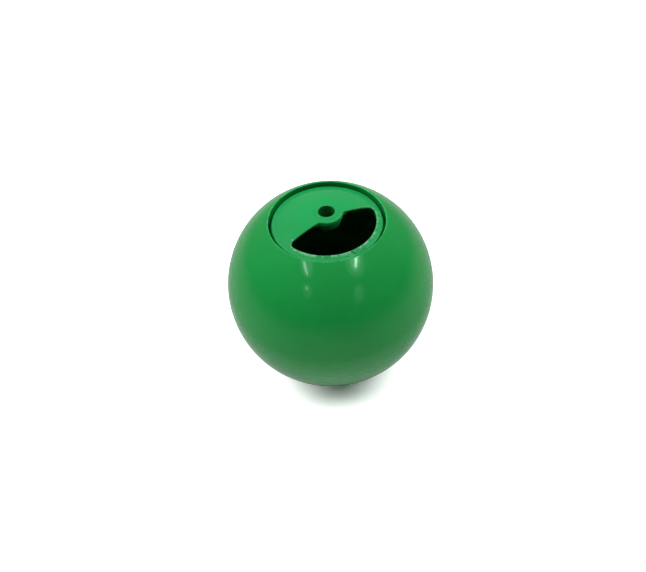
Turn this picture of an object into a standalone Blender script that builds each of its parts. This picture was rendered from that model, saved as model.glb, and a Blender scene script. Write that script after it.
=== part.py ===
"""A hollow feed ball with a turning plate in its mouth.

The ball stands on a small flat foot, with its axis along +Z and the origin at the middle of the foot.
Two shells meet in a lap joint at the equator. The upper shell's mouth has a collar, whose ledge carries
a fixed seat plate. The dispensing plate turns above the seat plate on a hollow bush, which a clip holds
from below. Both plates have a half-moon port towards -Y: turned half round, the dispensing plate closes
the ball. Heights below are above the ball's centre, until each piece is lifted onto its foot.
"""

import math

import bmesh
import bpy
from mathutils import Matrix, Vector

MM = 0.001

# The ball
BALL_RADIUS = 100.0 * MM
SHELL_WALL = 4.0 * MM
FOOT_RADIUS = 15.0 * MM
MOUTH_RADIUS = 54.2 * MM
RIM_ROUND = 0.9 * MM

# The lap joint between the shells
LAP_HEIGHT = 6.0 * MM
SEAM_GAP = 0.3 * MM

# The collar that runs down from the mouth, and its ledge
COLLAR_WALL = 3.4 * MM
LEDGE_WIDTH = 4.6 * MM
LEDGE_THICKNESS = 3.0 * MM

# The turning plate and its port
PLATE_RECESS = 5.5 * MM
PLATE_THICKNESS = 4.0 * MM
PLATE_GAP = 2.3 * MM
PLATE_EDGE_ROUND = 1.8 * MM
PORT_RIM_WIDTH = 6.5 * MM
PORT_CHORD = 8.4 * MM
HUB_WALL = 3.5 * MM
PORT_CORNER = 3.5 * MM
PORT_ROOT = 2.0 * MM

# The raised pointer on the plate's rim, in the middle of the port's side
POINTER_LENGTH = 4.2 * MM
POINTER_WIDTH = 6.4 * MM
POINTER_HEIGHT = 1.1 * MM

# The fixed plate under it, whose port is a little larger
SEAT_CLEARANCE = 0.6 * MM
SEAT_THICKNESS = 3.0 * MM
SEAT_RIM_WIDTH = 5.5 * MM
SEAT_PORT_MARGIN = 1.0 * MM
SEAT_CHORD = 1.0 * MM
BOSS_WALL = 2.9 * MM
BOSS_HEIGHT = 5.0 * MM

# The hollow bush that the plate turns on, its washer and its clip
BORE_RADIUS = 7.8 * MM
BUSH_WALL = 2.2 * MM
FLANGE_OVERHANG = 1.4 * MM
FLANGE_THICKNESS = 1.6 * MM
WASHER_WIDTH = 2.7 * MM
WASHER_THICKNESS = 1.2 * MM
CLIP_WIDTH = 3.0 * MM
CLIP_THICKNESS = 1.6 * MM
CLIP_OPENING = 9.0 * MM
GROOVE_DEPTH = 0.8 * MM
BUSH_TAIL = 2.2 * MM

# The gap kept wherever two pieces touch or one turns in another
FIT = 0.3 * MM

# How finely round shapes are divided
SHELL_SIDES = 60
SMALL_SIDES = 36
ARC_STEP = math.radians(6.0)
CORNER_STEPS = 3

# What follows from the sizes above
CENTRE_HEIGHT = math.sqrt(BALL_RADIUS**2 - FOOT_RADIUS**2)
INNER_RADIUS = BALL_RADIUS - SHELL_WALL
COLLAR_RADIUS = MOUTH_RADIUS + COLLAR_WALL
LAP_INNER = BALL_RADIUS - (SHELL_WALL + FIT) / 2
LAP_OUTER = LAP_INNER + FIT

BUSH_RADIUS = BORE_RADIUS + BUSH_WALL
SOCKET_RADIUS = BUSH_RADIUS + FIT
FLANGE_RADIUS = BUSH_RADIUS + FLANGE_OVERHANG
SINK_RADIUS = FLANGE_RADIUS + FIT

PLATE_DOME = BALL_RADIUS - PLATE_RECESS
PLATE_UNDER = PLATE_DOME - PLATE_THICKNESS
PLATE_RADIUS = MOUTH_RADIUS - PLATE_GAP
PORT_RADIUS = PLATE_RADIUS - PORT_RIM_WIDTH
HUB_RADIUS = SINK_RADIUS + HUB_WALL

SEAT_DOME = PLATE_UNDER - SEAT_CLEARANCE
SEAT_UNDER = SEAT_DOME - SEAT_THICKNESS
SEAT_RADIUS = MOUTH_RADIUS - FIT
BOSS_RADIUS = SOCKET_RADIUS + BOSS_WALL


def on_sphere(radius, reach):
    """Height of a sphere of this radius where it is this far out from the axis."""
    return math.sqrt(radius**2 - reach**2)


SEAT_RIM_BASE = on_sphere(SEAT_UNDER, SEAT_RADIUS)
LEDGE_TOP = SEAT_RIM_BASE - FIT
FLANGE_BASE = on_sphere(PLATE_DOME, FLANGE_RADIUS) - FLANGE_THICKNESS
BOSS_BASE = SEAT_DOME - BOSS_HEIGHT
WASHER_TOP = BOSS_BASE - FIT
CLIP_TOP = WASHER_TOP - WASHER_THICKNESS - FIT
CLIP_BASE = CLIP_TOP - CLIP_THICKNESS
BUSH_BASE = CLIP_BASE - FIT - BUSH_TAIL


def clear_scene():
    """Remove every object that the scene starts with."""
    for thing in list(bpy.data.objects):
        bpy.data.objects.remove(thing, do_unlink=True)


def plastic(name, colour, roughness):
    """A plain moulded plastic."""
    finish = bpy.data.materials.new(name)
    finish.use_nodes = True
    shader = finish.node_tree.nodes["Principled BSDF"]
    shader.inputs["Base Color"].default_value = (*colour, 1.0)
    shader.inputs["Roughness"].default_value = roughness
    shader.inputs["Metallic"].default_value = 0.0
    finish.diffuse_color = (*colour, 1.0)
    return finish


def arc(radius, start, end, centre=(0.0, 0.0)):
    """Points along an arc, both ends included. Angles run from the first axis towards the second."""
    steps = max(1, math.ceil(abs(end - start) / ARC_STEP))
    points = []
    for step in range(steps + 1):
        angle = start + (end - start) * step / steps
        points.append((centre[0] + radius * math.cos(angle), centre[1] + radius * math.sin(angle)))
    return points


def dome(radius, start_reach, end_reach):
    """Section of a dome about the ball's centre, between two distances from the axis."""
    return arc(radius, math.acos(start_reach / radius), math.acos(end_reach / radius))


def rounded(before, corner, after, radius):
    """Points of a round of this radius in place of a corner between two straight sides."""
    corner = Vector(corner)
    to_before = (Vector(before) - corner).normalized()
    to_after = (Vector(after) - corner).normalized()
    half = to_before.angle(to_after) / 2
    centre = corner + (to_before + to_after).normalized() * radius / math.sin(half)
    first = corner + to_before * radius / math.tan(half) - centre
    last = corner + to_after * radius / math.tan(half) - centre
    points = []
    for step in range(CORNER_STEPS + 1):
        spoke = first.slerp(last, step / CORNER_STEPS)
        points.append(tuple(centre + radius * spoke.normalized()))
    return points


def turned(name, section, sides, finish):
    """A solid of revolution about +Z. The section's points are (distance from the axis, height)."""
    mesh = bmesh.new()
    points = [mesh.verts.new((reach, 0.0, height)) for reach, height in section]
    edges = [mesh.edges.new(pair) for pair in zip(points, points[1:])]
    if section[0][0] > 0.0:
        edges.append(mesh.edges.new((points[-1], points[0])))
    bmesh.ops.spin(
        mesh,
        geom=points + edges,
        cent=(0.0, 0.0, 0.0),
        axis=(0.0, 0.0, 1.0),
        angle=2 * math.pi,
        steps=sides,
        use_merge=True,
    )
    bmesh.ops.remove_doubles(mesh, verts=mesh.verts, dist=0.001 * MM)
    return finished(name, mesh, finish)


def prism(name, outline, base, top, finish=None):
    """An upright prism over a closed outline of (x, y) points."""
    mesh = bmesh.new()
    floor = mesh.faces.new([mesh.verts.new((x, y, base)) for x, y in outline])
    grown = bmesh.ops.extrude_face_region(mesh, geom=[floor])["geom"]
    lifted = [part for part in grown if isinstance(part, bmesh.types.BMVert)]
    bmesh.ops.translate(mesh, verts=lifted, vec=(0.0, 0.0, top - base))
    return finished(name, mesh, finish)


def finished(name, mesh, finish):
    """An object on the ball's axis from this bmesh, its faces outwards and its round sides smooth."""
    bmesh.ops.recalc_face_normals(mesh, faces=mesh.faces)
    if mesh.calc_volume(signed=True) < 0.0:
        bmesh.ops.reverse_faces(mesh, faces=mesh.faces)
    data = bpy.data.meshes.new(name)
    mesh.to_mesh(data)
    mesh.free()
    data.shade_smooth()
    data.set_sharp_from_angle(angle=math.radians(30.0))
    if finish:
        data.materials.append(finish)
    piece = bpy.data.objects.new(name, data)
    piece.location.z = CENTRE_HEIGHT
    bpy.context.scene.collection.objects.link(piece)
    return piece


def cut(piece, tool, operation="DIFFERENCE"):
    """Cut a hidden tool out of a piece, or join it to the piece."""
    tool.hide_render = True
    tool.display_type = "WIRE"
    change = piece.modifiers.new(tool.name, "BOOLEAN")
    change.operation = operation
    change.solver = "EXACT"
    change.object = tool


def half_moon(rim_radius, chord, hub_radius):
    """Outline of a port towards -Y: inside the rim's circle, beyond the chord and outside the hub's circle.

    Its two horns and the two roots beside the hub are rounded.
    """
    horn_turn = math.acos((chord + PORT_CORNER) / (rim_radius - PORT_CORNER))
    root_turn = math.acos((chord + PORT_ROOT) / (hub_radius + PORT_ROOT))
    horn = (
        (rim_radius - PORT_CORNER) * math.sin(horn_turn),
        (rim_radius - PORT_CORNER) * math.cos(horn_turn),
    )
    root = (
        (hub_radius + PORT_ROOT) * math.sin(root_turn),
        (hub_radius + PORT_ROOT) * math.cos(root_turn),
    )
    quarter = math.pi / 2
    rim = arc(rim_radius, quarter, quarter - horn_turn)
    horn_round = arc(PORT_CORNER, quarter - horn_turn, -quarter, horn)
    root_round = arc(PORT_ROOT, -quarter, -quarter - root_turn, root)
    hub = arc(hub_radius, quarter - root_turn, quarter)
    side = rim + horn_round[1:] + root_round + hub[1:]
    mirrored = [(-across, out) for across, out in reversed(side[1:-1])]
    return [(across, -out) for across, out in side + mirrored]


def make_upper_shell(finish):
    """The upper half of the ball, with its mouth, the collar and the ledge inside it."""
    outer = dome(BALL_RADIUS, MOUTH_RADIUS, on_sphere(BALL_RADIUS, SEAM_GAP / 2))[::-1]
    rim_foot = (MOUTH_RADIUS, LEDGE_TOP)
    rim = rounded(outer[-2], outer[-1], rim_foot, RIM_ROUND)
    ledge_reach = MOUTH_RADIUS - LEDGE_WIDTH
    ledge_base = LEDGE_TOP - LEDGE_THICKNESS
    ledge = [rim_foot, (ledge_reach, LEDGE_TOP), (ledge_reach, ledge_base), (COLLAR_RADIUS, ledge_base)]
    lap_top = LAP_HEIGHT + SEAM_GAP / 2
    inner = dome(INNER_RADIUS, COLLAR_RADIUS, on_sphere(INNER_RADIUS, lap_top))
    lap = [(LAP_OUTER, lap_top), (LAP_OUTER, SEAM_GAP / 2)]
    return turned("upper_shell", outer[:-1] + rim + ledge + inner + lap, SHELL_SIDES, finish)


def make_lower_shell(finish):
    """The lower half of the ball, with its flat foot and the tongue of the lap joint."""
    floor = CENTRE_HEIGHT - SHELL_WALL
    lap_top = LAP_HEIGHT - SEAM_GAP / 2
    floor_turn = math.asin(floor / INNER_RADIUS)
    foot_turn = math.asin(CENTRE_HEIGHT / BALL_RADIUS)
    inner = arc(INNER_RADIUS, -floor_turn, math.asin(lap_top / INNER_RADIUS))
    tongue = [(LAP_INNER, lap_top), (LAP_INNER, -SEAM_GAP / 2)]
    outer = arc(BALL_RADIUS, -math.asin(SEAM_GAP / 2 / BALL_RADIUS), -foot_turn)
    section = [(0.0, -floor)] + inner + tongue + outer + [(0.0, -CENTRE_HEIGHT)]
    return turned("lower_shell", section, SHELL_SIDES, finish)


def make_seat_plate(finish):
    """The fixed plate on the collar's ledge: its boss holds the bush, and its port is a half-moon."""
    top = dome(SEAT_DOME, SOCKET_RADIUS, SEAT_RADIUS)
    rim_inside = SEAT_RADIUS - SEAT_RIM_WIDTH
    rim = [(SEAT_RADIUS, SEAT_RIM_BASE), (rim_inside, SEAT_RIM_BASE)]
    under = dome(SEAT_UNDER, rim_inside, BOSS_RADIUS)
    boss = [(BOSS_RADIUS, BOSS_BASE), (SOCKET_RADIUS, BOSS_BASE)]
    plate = turned("seat_plate", top + rim + under + boss, SHELL_SIDES, finish)
    outline = half_moon(PORT_RADIUS + SEAT_PORT_MARGIN, SEAT_CHORD, BOSS_RADIUS)
    cut(plate, prism("seat_port_cutter", outline, LEDGE_TOP, PLATE_DOME))
    return plate


def make_dispensing_plate(finish):
    """The turning plate: a dome with a rounded edge, a sunk seat for the bush's flange, and its port."""
    sink_floor = FLANGE_BASE - FIT
    top = dome(PLATE_DOME, SINK_RADIUS, PLATE_RADIUS)
    edge_foot = (PLATE_RADIUS, on_sphere(PLATE_UNDER, PLATE_RADIUS))
    edge = rounded(top[-2], top[-1], edge_foot, PLATE_EDGE_ROUND)
    under = dome(PLATE_UNDER, PLATE_RADIUS, SOCKET_RADIUS)
    socket = [(SOCKET_RADIUS, sink_floor), (SINK_RADIUS, sink_floor)]
    plate = turned("dispensing_plate", top[:-1] + edge + under + socket, SHELL_SIDES, finish)
    outline = half_moon(PORT_RADIUS, PORT_CHORD, HUB_RADIUS)
    cut(plate, prism("port_cutter", outline, LEDGE_TOP, BALL_RADIUS))
    cut(plate, make_pointer(finish), "UNION")
    return plate


def make_pointer(finish):
    """The small raised pointer on the rim beside the port. Its tip points outwards."""
    middle = (PORT_RADIUS + PLATE_RADIUS) / 2
    tip = middle + POINTER_LENGTH / 2
    back = middle - POINTER_LENGTH / 2
    outline = [(0.0, -tip), (POINTER_WIDTH / 2, -back), (-POINTER_WIDTH / 2, -back)]
    pointer = prism("pointer_block", outline, -PLATE_THICKNESS / 2, POINTER_HEIGHT, finish)
    lean = math.asin(middle / PLATE_DOME)
    tilted = Matrix.Translation((0.0, -middle, 0.0)) @ Matrix.Rotation(lean, 4, "X")
    settled = tilted @ Matrix.Translation((0.0, middle, 0.0))
    pointer.data.transform(Matrix.Translation((0.0, 0.0, on_sphere(PLATE_DOME, middle))) @ settled)
    return pointer


def make_pivot_bush(finish):
    """The hollow bush: a flange flush with the plate, a stem through both plates and a groove for the clip."""
    flange = dome(PLATE_DOME, BORE_RADIUS, FLANGE_RADIUS) + [(FLANGE_RADIUS, FLANGE_BASE)]
    groove_top = CLIP_TOP + FIT
    groove_base = CLIP_BASE - FIT
    groove_radius = BUSH_RADIUS - GROOVE_DEPTH
    stem = [
        (BUSH_RADIUS, FLANGE_BASE),
        (BUSH_RADIUS, groove_top),
        (groove_radius, groove_top),
        (groove_radius, groove_base),
        (BUSH_RADIUS, groove_base),
        (BUSH_RADIUS, BUSH_BASE),
        (BORE_RADIUS, BUSH_BASE),
    ]
    return turned("pivot_bush", flange + stem, SMALL_SIDES, finish)


def make_thrust_washer(finish):
    """The plain washer between the boss and the clip."""
    base = WASHER_TOP - WASHER_THICKNESS
    reach = SOCKET_RADIUS + WASHER_WIDTH
    section = [(SOCKET_RADIUS, WASHER_TOP), (reach, WASHER_TOP), (reach, base), (SOCKET_RADIUS, base)]
    return turned("thrust_washer", section, SMALL_SIDES, finish)


def make_retaining_clip(finish):
    """The open ring that snaps into the bush's groove. Its opening is towards +Y."""
    inside = BUSH_RADIUS - GROOVE_DEPTH + FIT
    reach = inside + CLIP_WIDTH
    section = [(inside, CLIP_TOP), (reach, CLIP_TOP), (reach, CLIP_BASE), (inside, CLIP_BASE)]
    clip = turned("retaining_clip", section, SMALL_SIDES, finish)
    half = CLIP_OPENING / 2
    slot = [(-half, 0.0), (half, 0.0), (half, 2 * reach), (-half, 2 * reach)]
    cut(clip, prism("clip_cutter", slot, CLIP_BASE - CLIP_THICKNESS, CLIP_TOP + CLIP_THICKNESS))
    return clip


def main():
    """Build the ball."""
    clear_scene()
    ball_green = plastic("ball_green", (0.01, 0.25, 0.055), 0.12)
    plate_green = plastic("plate_green", (0.01, 0.26, 0.06), 0.24)
    fitting_green = plastic("fitting_green", (0.03, 0.06, 0.03), 0.40)
    make_upper_shell(ball_green)
    make_lower_shell(ball_green)
    make_seat_plate(plate_green)
    make_dispensing_plate(plate_green)
    make_pivot_bush(plate_green)
    make_thrust_washer(fitting_green)
    make_retaining_clip(fitting_green)


main()
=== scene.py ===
"""The looks of a hollow feed ball with a turning plate in its mouth.

Every piece is turned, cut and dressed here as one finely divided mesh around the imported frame. The ball
stands on the origin with its axis along +Z, and its half-moon port faces -Y. Section heights are counted
from the ball's centre, and finished meshes are lifted onto the foot.
"""

import logging
import math
from collections.abc import Callable, Iterable
from dataclasses import dataclass, field
from enum import Enum

import bmesh
import bpy
from mathutils import Matrix, Vector
from mathutils.geometry import delaunay_2d_cdt


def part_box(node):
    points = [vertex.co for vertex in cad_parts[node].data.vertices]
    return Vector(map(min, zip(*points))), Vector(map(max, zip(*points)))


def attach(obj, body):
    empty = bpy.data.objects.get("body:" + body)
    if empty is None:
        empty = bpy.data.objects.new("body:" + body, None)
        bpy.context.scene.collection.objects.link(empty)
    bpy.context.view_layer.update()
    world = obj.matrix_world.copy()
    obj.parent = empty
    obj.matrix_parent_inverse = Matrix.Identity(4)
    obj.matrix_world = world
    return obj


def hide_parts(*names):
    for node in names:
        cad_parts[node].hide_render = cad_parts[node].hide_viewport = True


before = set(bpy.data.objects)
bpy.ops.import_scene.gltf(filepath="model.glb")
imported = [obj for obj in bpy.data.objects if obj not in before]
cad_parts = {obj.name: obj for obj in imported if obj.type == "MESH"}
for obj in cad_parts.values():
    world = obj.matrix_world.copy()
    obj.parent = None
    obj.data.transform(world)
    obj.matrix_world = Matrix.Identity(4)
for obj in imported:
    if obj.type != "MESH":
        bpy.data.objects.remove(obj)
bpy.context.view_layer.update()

MM = 0.001
# Vertex attribute with each edge's wear; on the turning plate's port lip it also carries a painted highlight.
WEAR_AND_HIGHLIGHT = "wear"
WHITE = (1.0, 1.0, 1.0, 1.0)
SAME_POINT = 1e-7
WELD = 0.0005 * MM
SHARP_FROM = math.radians(38.0)
log = logging.getLogger("feed_ball")

Point2 = tuple[float, float]
Point3 = tuple[float, float, float]
Colour = tuple[float, float, float]


class Body(Enum):
    """The bodies of the frame that pieces ride on."""

    BALL = "ball"
    PLATE = "plate"


class Slot(Enum):
    """The record's material slots."""

    BALL = "ball_plastic"
    PLATE = "plate_plastic"
    FITTING = "fitting_plastic"


# --------------------------------------------------------------------------- shapes


@dataclass(frozen=True)
class Corner:
    """One corner of a section: how far out it is, how high, and the radius that rounds it."""

    reach: float
    height: float
    radius: float = 0.0


@dataclass(frozen=True)
class Spot:
    """One finished point of a section, with its share of edge wear."""

    reach: float
    height: float
    wear: float = 0.0


def arc(radius: float, start: float, end: float, step: float, centre: Point2 = (0.0, 0.0)) -> list[Point2]:
    """Walk along an arc.

    Args:
        radius: The arc's radius.
        start: First angle, from the first axis towards the second.
        end: Last angle.
        step: Largest angle between two points.
        centre: The arc's centre.

    Returns:
        The points, both ends included.
    """
    count = max(1, math.ceil(abs(end - start) / step - 1e-6))
    angles = [start + (end - start) * index / count for index in range(count + 1)]
    return [(centre[0] + radius * math.cos(turn), centre[1] + radius * math.sin(turn)) for turn in angles]


def on_sphere(radius: float, reach: float) -> float:
    """Give the height of a sphere about the ball's centre at this distance from the axis."""
    return math.sqrt(max(radius * radius - reach * reach, 0.0))


def dome(radius: float, start_reach: float, end_reach: float, step: float) -> list[Corner]:
    """Give the section of a dome about the ball's centre.

    Args:
        radius: The dome's radius.
        start_reach: How far from the axis it starts.
        end_reach: How far from the axis it ends.
        step: Largest angle between two corners.

    Returns:
        The section's corners, none of them rounded.
    """
    start = math.acos(start_reach / radius)
    end = math.acos(end_reach / radius)
    return [Corner(*point) for point in arc(radius, start, end, step)]


def tube(inner: float, outer: float, base: float, top: float, rounding: float) -> list[Corner]:
    """Give the section of a plain tube.

    Args:
        inner: Its radius inside.
        outer: Its radius outside.
        base: The height of its lower face.
        top: The height of its upper face.
        rounding: The radius on each of its edges.

    Returns:
        The section's four corners.
    """
    places = ((inner, top), (outer, top), (outer, base), (inner, base))
    return [Corner(*place, rounding) for place in places]


def round_off(corners: list[Corner], closed: bool, steps: int = 5) -> list[Spot]:
    """Round the corners of a section.

    Args:
        corners: The section's corners in order.
        closed: Whether the last corner joins the first.
        steps: How many faces a round gets.

    Returns:
        The section's points. Those on a round carry wear.
    """
    spots: list[Spot] = []
    count = len(corners)
    for index, corner in enumerate(corners):
        inner = closed or 0 < index < count - 1
        if corner.radius <= 0.0 or not inner:
            spots.append(Spot(corner.reach, corner.height))
            continue
        here = Vector((corner.reach, corner.height))
        before = corners[index - 1]
        after = corners[(index + 1) % count]
        to_before = (Vector((before.reach, before.height)) - here).normalized()
        to_after = (Vector((after.reach, after.height)) - here).normalized()
        half = to_before.angle(to_after) / 2
        centre = here + (to_before + to_after).normalized() * corner.radius / math.sin(half)
        first = (here + to_before * corner.radius / math.tan(half) - centre).normalized()
        last = (here + to_after * corner.radius / math.tan(half) - centre).normalized()
        for step in range(steps + 1):
            share = step / steps
            spoke = first.slerp(last, share) * corner.radius
            spots.append(Spot(centre.x + spoke.x, centre.y + spoke.y, math.sin(math.pi * share)))
    return spots


class MeshMaker:
    """Collects faces into one closed mesh, with a wear value on every vertex."""

    def __init__(self) -> None:
        """Start an empty mesh."""
        self.mesh = bmesh.new()
        self.wear = self.mesh.verts.layers.float.new(WEAR_AND_HIGHLIGHT)

    def vertex(self, place: Point3, wear: float = 0.0) -> bmesh.types.BMVert:
        """Add one vertex.

        Args:
            place: Where it is.
            wear: How rubbed the surface is there.

        Returns:
            The vertex.
        """
        made = self.mesh.verts.new(place)
        made[self.wear] = wear
        return made

    def loop(self, points: Iterable[Point3], wear: float = 0.0) -> list[bmesh.types.BMVert]:
        """Add a ring of vertices."""
        return [self.vertex(point, wear) for point in points]

    def bridge(self, first: list[bmesh.types.BMVert], second: list[bmesh.types.BMVert]) -> None:
        """Join two rings with four-sided faces.

        Args:
            first: One ring.
            second: The other, of the same count.
        """
        count = len(first)
        for index in range(count):
            ahead = (index + 1) % count
            self.mesh.faces.new((first[index], first[ahead], second[ahead], second[index]))

    def fan(self, ring: list[bmesh.types.BMVert], centre: bmesh.types.BMVert) -> None:
        """Close a ring with a fan about one vertex.

        Args:
            ring: The ring.
            centre: The vertex in its middle.
        """
        count = len(ring)
        for index in range(count):
            self.mesh.faces.new((ring[index], ring[(index + 1) % count], centre))

    def turn(self, section: list[Spot], sides: int, closed: bool) -> None:
        """Turn a section about the axis.

        Args:
            section: The section's points in order.
            sides: How many faces go round.
            closed: Whether the last point joins the first. An open section starts and ends on the axis.
        """
        turns = [2 * math.pi * side / sides for side in range(sides)]
        rings: list[list[bmesh.types.BMVert]] = []
        body = section if closed else section[1:-1]
        for spot in body:
            ring = [(spot.reach * math.cos(turn), spot.reach * math.sin(turn), spot.height) for turn in turns]
            rings.append(self.loop(ring, spot.wear))
        for first, second in zip(rings, rings[1:]):
            self.bridge(first, second)
        if closed:
            self.bridge(rings[-1], rings[0])
            return
        self.fan(rings[0], self.vertex((0.0, 0.0, section[0].height)))
        self.fan(rings[-1], self.vertex((0.0, 0.0, section[-1].height)))

    def skin(self, loops: list[list[Point2]], inside: list[Point2], keep: Callable[[Point2], bool],
             height: Callable[[float, float], float]) -> None:
        """Stretch a fine triangle skin between plan outlines and lift it onto a surface.

        Args:
            loops: Closed plan outlines that the skin's edges follow.
            inside: Further plan points.
            keep: Says whether the plan point in a triangle's middle belongs to the skin.
            height: The surface's height over a plan point.
        """
        plan: list[Vector] = []
        edges: list[tuple[int, int]] = []
        for outline in loops:
            base = len(plan)
            count = len(outline)
            plan.extend(Vector(point) for point in outline)
            edges.extend((base + index, base + (index + 1) % count) for index in range(count))
        plan.extend(Vector(point) for point in inside)
        points, _, faces, *_ = delaunay_2d_cdt(plan, edges, [], 0, SAME_POINT, False)
        made = [self.vertex((point.x, point.y, height(point.x, point.y))) for point in points]
        for face in faces:
            middle = sum((points[corner] for corner in face), Vector((0.0, 0.0))) / len(face)
            if keep((middle.x, middle.y)):
                self.mesh.faces.new([made[corner] for corner in face])

    def finished(self, name: str, lift: float) -> bpy.types.Object:
        """Close the mesh, turn its faces outwards and make an object of it.

        Args:
            name: The object's name.
            lift: How far the ball's centre is above the foot.

        Returns:
            The object, linked to the scene.
        """
        bmesh.ops.remove_doubles(self.mesh, verts=self.mesh.verts, dist=WELD)
        loose = [vertex for vertex in self.mesh.verts if not vertex.link_faces]
        bmesh.ops.delete(self.mesh, geom=loose, context="VERTS")
        bmesh.ops.recalc_face_normals(self.mesh, faces=self.mesh.faces)
        if self.mesh.calc_volume(signed=True) < 0.0:
            bmesh.ops.reverse_faces(self.mesh, faces=self.mesh.faces)
        bmesh.ops.translate(self.mesh, verts=self.mesh.verts, vec=(0.0, 0.0, lift))
        data = bpy.data.meshes.new(name)
        self.mesh.to_mesh(data)
        self.mesh.free()
        data.shade_smooth()
        data.set_sharp_from_angle(angle=SHARP_FROM)
        piece = bpy.data.objects.new(name, data)
        bpy.context.scene.collection.objects.link(piece)
        normals = piece.modifiers.new("even_shading", "WEIGHTED_NORMAL")
        normals.mode = "FACE_AREA"
        normals.keep_sharp = True
        return piece


@dataclass(frozen=True)
class HalfMoon:
    """A half-moon port towards -Y, inside a rim circle, beyond a chord and outside the hub's circle."""

    rim: float
    chord: float
    hub: float
    horn: float = 3.5 * MM
    root: float = 2.0 * MM
    spacing: float = 1.2 * MM
    step: float = math.radians(2.0)
    small_step: float = math.radians(12.0)

    def grown(self, by: float) -> list[Point2]:
        """Give the outline, pushed out into the plate around it.

        Args:
            by: How far to push it.

        Returns:
            Plan points, as many and in the same order whatever the push is.
        """
        horn, root = self.horn + by, self.root + by
        rim, chord, hub = self.rim + by, self.chord - by, self.hub - by
        horn_turn = math.acos((chord + horn) / (rim - horn))
        root_turn = math.acos((chord + root) / (hub + root))
        horn_at = ((rim - horn) * math.sin(horn_turn), (rim - horn) * math.cos(horn_turn))
        root_at = ((hub + root) * math.sin(root_turn), (hub + root) * math.cos(root_turn))
        quarter = math.pi / 2
        side = arc(rim, quarter, quarter - horn_turn, self.step)
        side += arc(horn, quarter - horn_turn, -quarter, self.small_step, horn_at)[1:]
        side += self.between(side[-1], (root_at[0], root_at[1] - root))
        side += arc(root, -quarter, -quarter - root_turn, self.small_step, root_at)
        side += arc(hub, quarter - root_turn, quarter, self.small_step / 2)[1:]
        mirrored = [(-across, out) for across, out in reversed(side[1:-1])]
        return [(across, -out) for across, out in side + mirrored]

    def between(self, start: Point2, end: Point2) -> list[Point2]:
        """Give evenly spread points of the straight edge, without its ends.

        Args:
            start: The edge's start.
            end: Its end.

        Returns:
            The points between them.
        """
        count = round((self.rim - self.hub) / self.spacing)
        spread = [index / count for index in range(1, count)]
        return [(start[0] + (end[0] - start[0]) * at, start[1] + (end[1] - start[1]) * at) for at in spread]


def inside(outline: list[Point2], point: Point2) -> bool:
    """Say whether a plan point lies inside a closed outline.

    Args:
        outline: The outline's points in order.
        point: The plan point.

    Returns:
        True inside, False outside.
    """
    within = False
    across, out = point
    for (x0, y0), (x1, y1) in zip(outline, outline[1:] + outline[:1]):
        if (y0 > out) != (y1 > out) and across < x0 + (out - y0) * (x1 - x0) / (y1 - y0):
            within = not within
    return within


def circle(radius: float, sides: int) -> list[Point2]:
    """Give a plan circle."""
    turns = [2 * math.pi * side / sides for side in range(sides)]
    return [(radius * math.cos(turn), radius * math.sin(turn)) for turn in turns]


def polar_grid(inner: float, outer: float, pitch: float) -> list[Point2]:
    """Spread plan points evenly over a ring.

    Args:
        inner: Where the first circle of points lies.
        outer: Where the last one lies.
        pitch: The distance between neighbours.

    Returns:
        The points, each circle turned a little against the last.
    """
    points: list[Point2] = []
    rows = max(1, round((outer - inner) / pitch))
    for row in range(rows + 1):
        radius = inner + (outer - inner) * row / rows
        count = max(6, round(2 * math.pi * radius / pitch))
        shift = math.pi * (row % 2) / count
        for index in range(count):
            turn = 2 * math.pi * index / count + shift
            points.append((radius * math.cos(turn), radius * math.sin(turn)))
    return points


# --------------------------------------------------------------------------- finishes


class GroupBuilder:
    """Builds one shader node group with named inputs and outputs."""

    def __init__(self, name: str) -> None:
        """Start an empty group.

        Args:
            name: The group's name.
        """
        self.tree = bpy.data.node_groups.new(name, "ShaderNodeTree")
        self.start = self.tree.nodes.new("NodeGroupInput")
        self.end = self.tree.nodes.new("NodeGroupOutput")

    def take(self, name: str, kind: str, value: float | tuple[float, ...]) -> None:
        """Add an input socket with its usual value."""
        self.tree.interface.new_socket(name, in_out="INPUT", socket_type=kind).default_value = value

    def give(self, name: str, kind: str, source: bpy.types.NodeSocket) -> None:
        """Add an output socket and feed it."""
        self.tree.interface.new_socket(name, in_out="OUTPUT", socket_type=kind)
        self.tree.links.new(source, self.end.inputs[name])

    def node(self, kind: str, **settings: object) -> bpy.types.Node:
        """Add a node. A setting whose name is a socket's sets or links that socket."""
        return place_node(self.tree, kind, **settings)

    def value(self, name: str) -> bpy.types.NodeSocket:
        """Give one of the group's inputs."""
        return self.start.outputs[name]


def place_node(tree: bpy.types.NodeTree, kind: str, **settings: object) -> bpy.types.Node:
    """Add a node to a tree.

    Args:
        tree: The tree.
        kind: The node's type without the ShaderNode prefix.
        **settings: Node properties, or inputs as in_NAME or in_NUMBER, set to a value or linked to a socket.

    Returns:
        The node.
    """
    made = tree.nodes.new("ShaderNode" + kind)
    for key, setting in settings.items():
        if not key.startswith("in_"):
            setattr(made, key, setting)
            continue
        label = key[3:]
        socket = made.inputs[int(label) if label.isdigit() else label.replace("_", " ")]
        if isinstance(setting, bpy.types.NodeSocket):
            tree.links.new(setting, socket)
        else:
            socket.default_value = setting
    return made


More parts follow.
